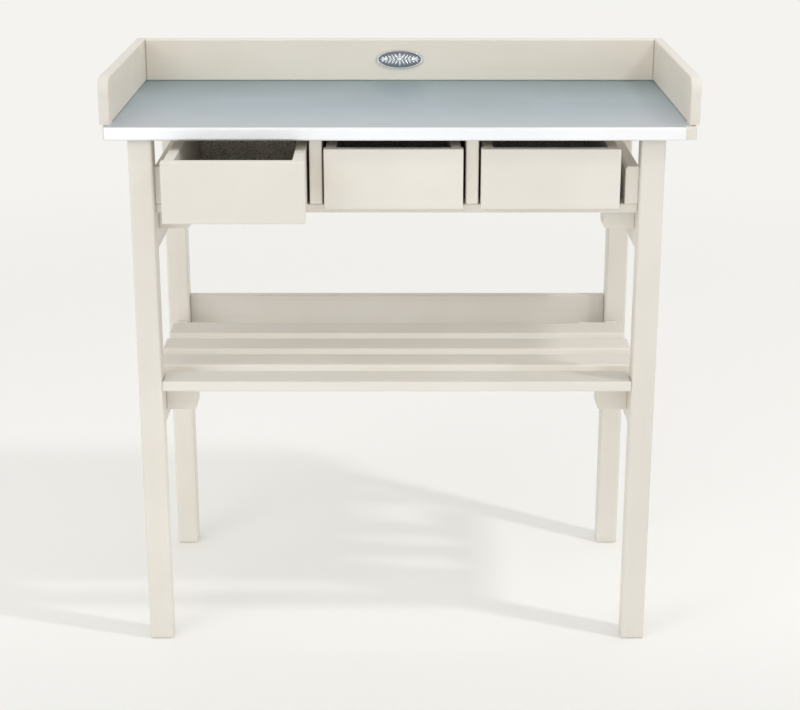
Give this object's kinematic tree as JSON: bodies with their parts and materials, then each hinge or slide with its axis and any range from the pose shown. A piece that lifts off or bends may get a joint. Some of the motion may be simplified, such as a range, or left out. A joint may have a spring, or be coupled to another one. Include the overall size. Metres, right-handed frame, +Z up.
{
  "type": "potting bench",
  "caption": "Painted wooden potting bench with a galvanised worktop, raised edging, sliding drawers without handles and a slatted lower shelf.",
  "frame": {"origin": "on the floor, in the middle of the bench's box with the left drawer pulled out as at rest", "axes": "+Z up, +X to the right seen from the front, -Y towards the person at the bench"},
  "size_m": [0.787, 0.4564, 0.805],
  "materials": {
    "painted_wood": "off-white satin paint over wood, with faint grain and brush marks",
    "drawer_board": "raw grey-brown fibre board with light and dark specks",
    "galvanised_sheet": "dull galvanised sheet, folded over at the front",
    "pewter": "cast, dark in the hollows and polished on the relief",
    "steel": "zinc plated",
    "beech": "raw"
  },
  "bodies": {
    "bench": {"leg_front_left": "painted_wood", "leg_front_right": "painted_wood", "leg_rear_left": "painted_wood", "leg_rear_right": "painted_wood", "rail_upper_left": "painted_wood", "rail_upper_right": "painted_wood", "rail_lower_left": "painted_wood", "rail_lower_right": "painted_wood", "back_apron": "painted_wood", "worktop_board": "painted_wood", "worktop_sheet": "galvanised_sheet", "edge_board_left": "painted_wood", "edge_board_right": "painted_wood", "edge_board_back": "painted_wood", "emblem": "pewter", "case_side_left": "painted_wood", "case_side_right": "painted_wood", "case_floor": "painted_wood", "divider_left": "painted_wood", "divider_right": "painted_wood", "slat_1_front": "painted_wood", "slat_2": "painted_wood", "slat_3": "painted_wood", "slat_4_rear": "painted_wood", "shelf_back_board": "painted_wood", "block_case_front_left": "painted_wood", "block_case_front_right": "painted_wood", "block_case_rear_left": "painted_wood", "block_case_rear_right": "painted_wood", "block_shelf_front_left": "painted_wood", "block_shelf_front_right": "painted_wood", "block_shelf_rear_left": "painted_wood", "block_shelf_rear_right": "painted_wood", "frame_dowels": "beech", "slat_dowels": "beech", "case_screws": "steel", "case_floor_screws": "steel", "block_screws": "steel", "worktop_screws": "steel", "edging_screws": "steel", "emblem_pins": "steel"},
    "drawer_left": {"drawer_left_front": "painted_wood", "drawer_left_side_l": "painted_wood", "drawer_left_side_r": "painted_wood", "drawer_left_back": "drawer_board", "drawer_left_bottom": "drawer_board", "drawer_left_dowels": "beech"},
    "drawer_middle": {"drawer_middle_front": "painted_wood", "drawer_middle_side_l": "painted_wood", "drawer_middle_side_r": "painted_wood", "drawer_middle_back": "drawer_board", "drawer_middle_bottom": "drawer_board", "drawer_middle_dowels": "beech"},
    "drawer_right": {"drawer_right_front": "painted_wood", "drawer_right_side_l": "painted_wood", "drawer_right_side_r": "painted_wood", "drawer_right_back": "drawer_board", "drawer_right_bottom": "drawer_board", "drawer_right_dowels": "beech"}
  },
  "joints": [
    {"name": "drawer_left_slide", "type": "slide", "parent": "bench", "child": "drawer_left", "axis": [0, -1, 0], "range_m": [-0.082, 0.118]},
    {"name": "drawer_middle_slide", "type": "slide", "parent": "bench", "child": "drawer_middle", "axis": [0, -1, 0], "range_m": [0, 0.2]},
    {"name": "drawer_right_slide", "type": "slide", "parent": "bench", "child": "drawer_right", "axis": [0, -1, 0], "range_m": [0, 0.2]}
  ]
}
